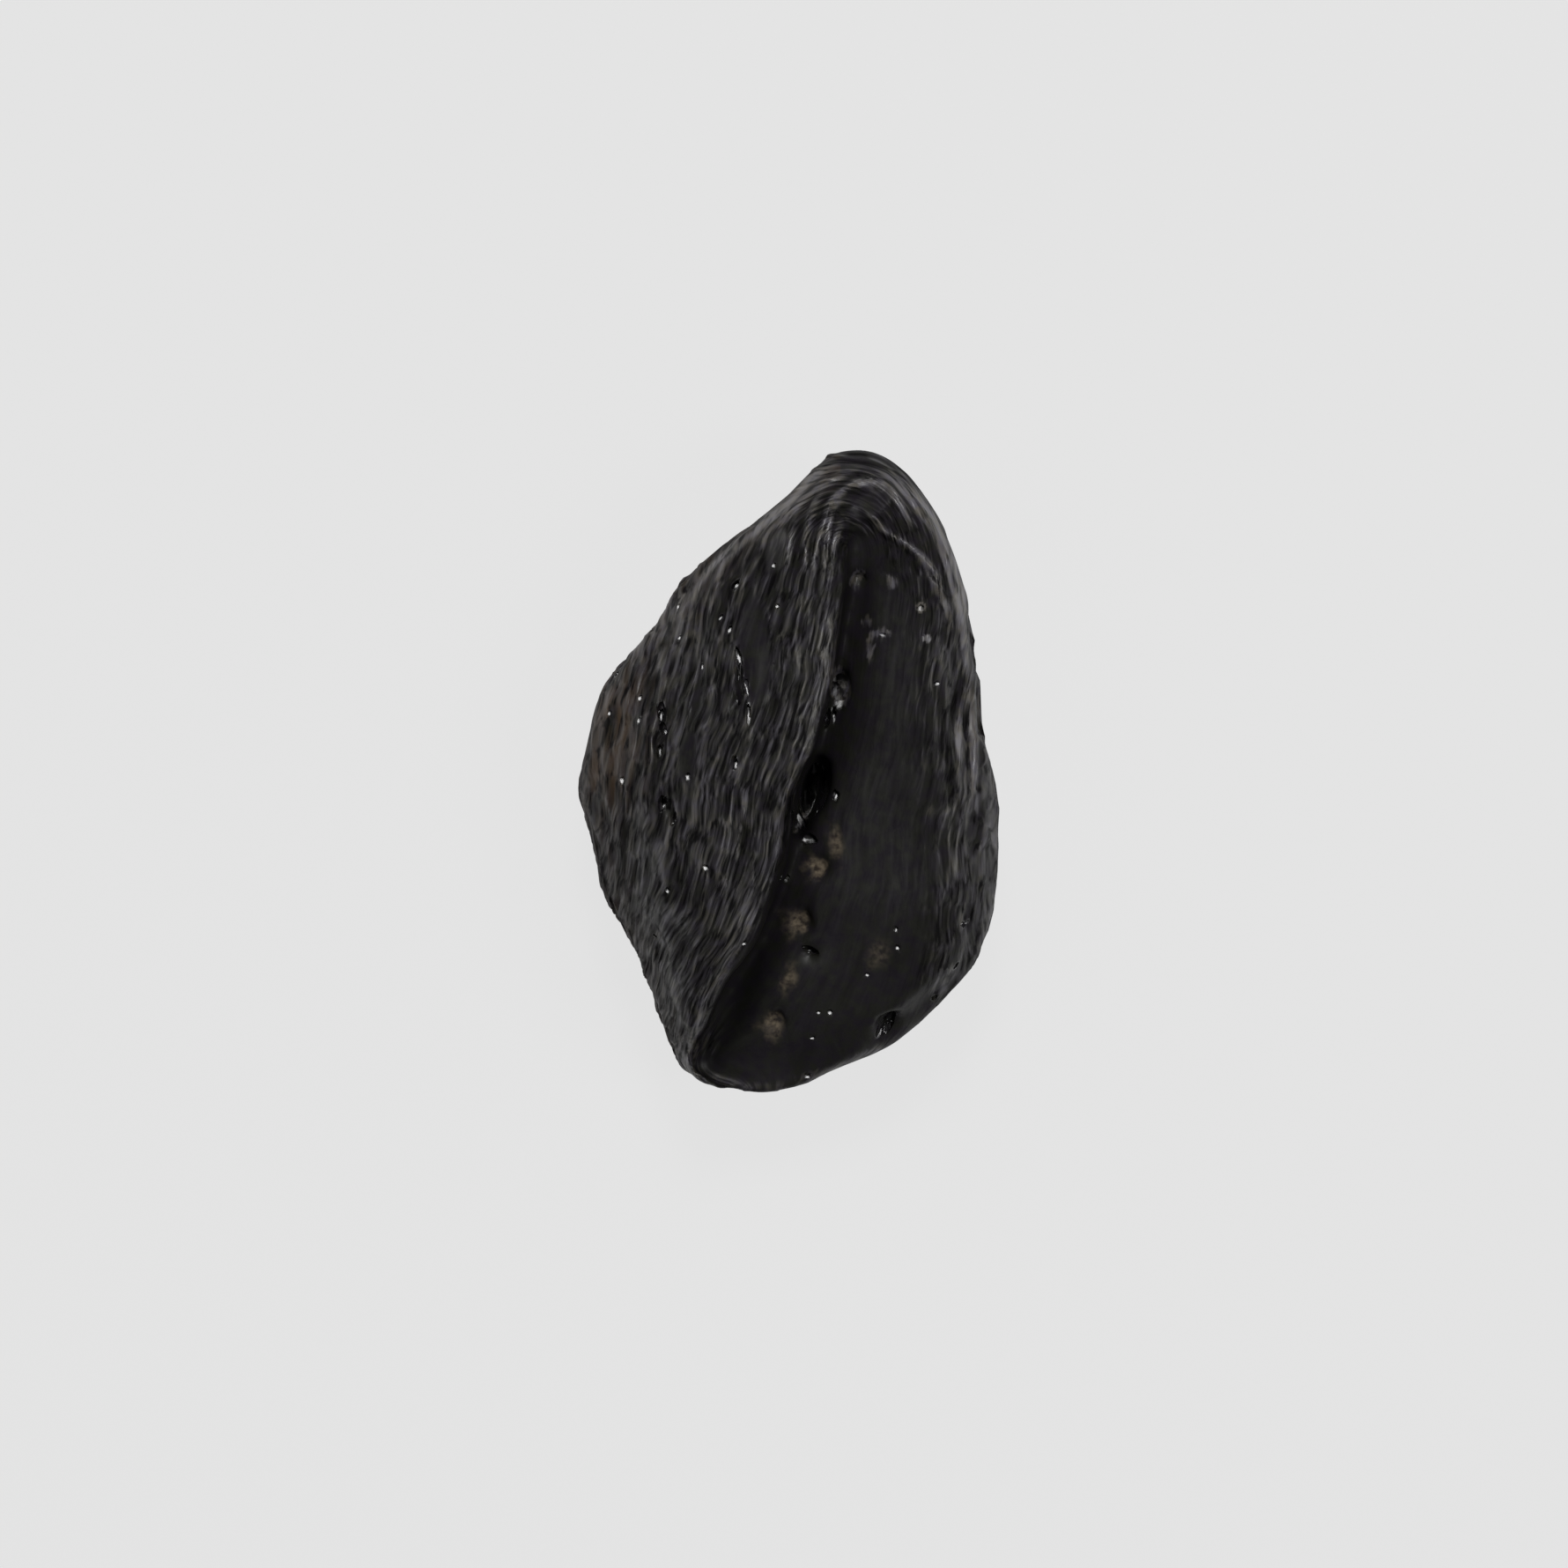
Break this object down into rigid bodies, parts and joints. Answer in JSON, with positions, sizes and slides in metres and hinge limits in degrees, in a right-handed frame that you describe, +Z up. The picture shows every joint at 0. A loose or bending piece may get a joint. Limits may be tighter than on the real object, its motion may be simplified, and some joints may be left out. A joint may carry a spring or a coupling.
{
  "type": "australite tektite",
  "caption": "Small almond-shaped stone of black natural glass, with a fluted face, a curved sharp crest, a smooth scooped hollow and open bubble pits.",
  "frame": {"origin": "middle of the stone's footprint, on the surface that it lies on", "axes": "+Y along the stone towards its narrow end, +X across it from the fluted face to the smooth rim, +Z up out of the hollow"},
  "size_m": [0.0155, 0.024, 0.0097],
  "materials": {
    "tektite_glass": "satin, etched by the soil, with glossy bubble pits"
  },
  "bodies": {
    "root": {"tektite": "tektite_glass"}
  },
  "joints": []
}
